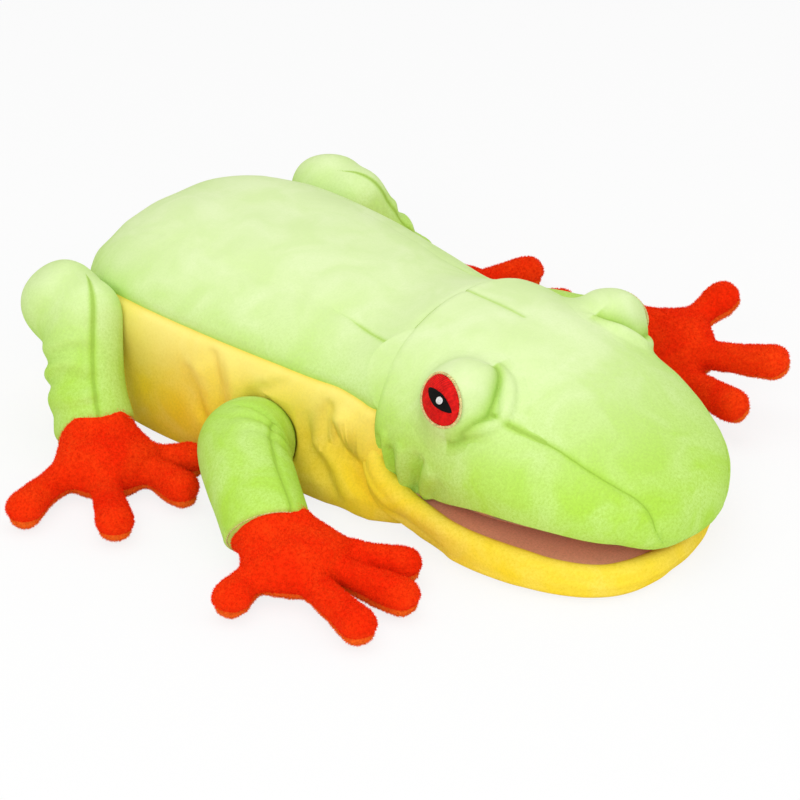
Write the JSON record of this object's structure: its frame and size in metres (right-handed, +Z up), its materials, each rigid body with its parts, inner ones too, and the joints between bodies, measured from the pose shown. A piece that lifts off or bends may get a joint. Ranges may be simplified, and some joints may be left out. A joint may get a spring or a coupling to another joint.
{
  "type": "frog hand puppet",
  "caption": "Plush tree-frog hand puppet lying on its belly: green back, yellow underside, red hands and feet, embroidered eyes, and a mouth worked from a glove inside.",
  "frame": {"origin": "middle of the outline on the table, under the body", "axes": "+Z up from the table; the frog faces -Y; +X is its left side"},
  "size_m": [0.3524, 0.3346, 0.091],
  "materials": {
    "green_plush": "short brushed pile",
    "yellow_plush": "short brushed pile",
    "red_plush": "short fuzzy pile",
    "orange_plush": "short fuzzy pile",
    "mouth_cloth": "smooth woven",
    "lining_cloth": "plain woven",
    "stuffing": "loose polyester fibre",
    "mouth_board": "stiff felted board",
    "red_thread": "satin stitch",
    "black_thread": "satin stitch",
    "white_thread": "satin stitch",
    "cream_thread": "satin stitch"
  },
  "bodies": {
    "torso": {"back_centre_panel": "green_plush", "back_side_panel_left": "green_plush", "back_side_panel_right": "green_plush", "belly_panel": "yellow_plush", "body_fill": "stuffing", "glove_lining": "lining_cloth", "rear_hem": "green_plush"},
    "head": {"crown_panel": "green_plush", "cheek_panel_left": "green_plush", "cheek_panel_right": "green_plush", "head_fill": "stuffing", "finger_pocket": "lining_cloth", "mouth_roof": "mouth_cloth", "upper_mouth_board": "mouth_board", "eye_dome_left": "green_plush", "eye_dome_right": "green_plush", "eyelid_left": "green_plush", "eyelid_right": "green_plush", "eye_outline_left": "cream_thread", "eye_outline_right": "cream_thread", "iris_left": "red_thread", "iris_right": "red_thread", "pupil_left": "black_thread", "pupil_right": "black_thread", "glint_left": "white_thread", "glint_right": "white_thread"},
    "jaw": {"chin_panel": "yellow_plush", "jaw_fill": "stuffing", "thumb_pocket": "lining_cloth", "mouth_floor": "mouth_cloth", "lower_mouth_board": "mouth_board"},
    "arm_left": {"arm_sleeve_left": "green_plush", "arm_fill_left": "stuffing"},
    "hand_left": {"hand_top_left": "red_plush", "hand_sole_left": "orange_plush", "hand_fill_left": "stuffing"},
    "leg_left": {"thigh_sleeve_left": "green_plush", "thigh_fill_left": "stuffing", "shin_sleeve_left": "green_plush", "shin_fill_left": "stuffing"},
    "foot_left": {"foot_top_left": "red_plush", "foot_sole_left": "orange_plush", "foot_fill_left": "stuffing"},
    "arm_right": {"arm_sleeve_right": "green_plush", "arm_fill_right": "stuffing"},
    "hand_right": {"hand_top_right": "red_plush", "hand_sole_right": "orange_plush", "hand_fill_right": "stuffing"},
    "leg_right": {"thigh_sleeve_right": "green_plush", "thigh_fill_right": "stuffing", "shin_sleeve_right": "green_plush", "shin_fill_right": "stuffing"},
    "foot_right": {"foot_top_right": "red_plush", "foot_sole_right": "orange_plush", "foot_fill_right": "stuffing"}
  },
  "joints": [
    {"name": "head_nod", "type": "hinge", "parent": "torso", "child": "head", "pos_m": [0, -0.03275, 0.046], "axis": [1, 0, 0], "range_deg": [-20, 6]},
    {"name": "jaw_open", "type": "hinge", "parent": "head", "child": "jaw", "pos_m": [0, -0.05475, 0.02], "axis": [1, 0, 0], "range_deg": [-4, 28]},
    {"name": "shoulder_left", "type": "hinge", "parent": "torso", "child": "arm_left", "pos_m": [0.078, 0.01925, 0.026], "axis": [0, -1, 0], "range_deg": [-10, 36]},
    {"name": "shoulder_right", "type": "hinge", "parent": "torso", "child": "arm_right", "pos_m": [-0.078, 0.01925, 0.026], "axis": [0, 1, 0], "range_deg": [-10, 36]},
    {"name": "wrist_left", "type": "hinge", "parent": "arm_left", "child": "hand_left", "pos_m": [0.115, -0.03475, 0.0235], "axis": [-0.8403, -0.2095, -0.5], "range_deg": [-30, 20]},
    {"name": "wrist_right", "type": "hinge", "parent": "arm_right", "child": "hand_right", "pos_m": [-0.115, -0.02675, 0.0175], "axis": [-0.9703, 0.2419, 0], "range_deg": [-25, 30]},
    {"name": "hip_left", "type": "hinge", "parent": "torso", "child": "leg_left", "pos_m": [0.0795, 0.11625, 0.046], "axis": [1, 0, 0], "range_deg": [-8, 26]},
    {"name": "hip_right", "type": "hinge", "parent": "torso", "child": "leg_right", "pos_m": [-0.0795, 0.11625, 0.046], "axis": [1, 0, 0], "range_deg": [-8, 26]},
    {"name": "ankle_left", "type": "hinge", "parent": "leg_left", "child": "foot_left", "pos_m": [0.108, 0.09325, 0.0175], "axis": [-0.866, -0.5, 0], "range_deg": [-25, 8]},
    {"name": "ankle_right", "type": "hinge", "parent": "leg_right", "child": "foot_right", "pos_m": [-0.108, 0.09325, 0.0175], "axis": [-0.866, 0.5, 0], "range_deg": [-25, 8]}
  ]
}
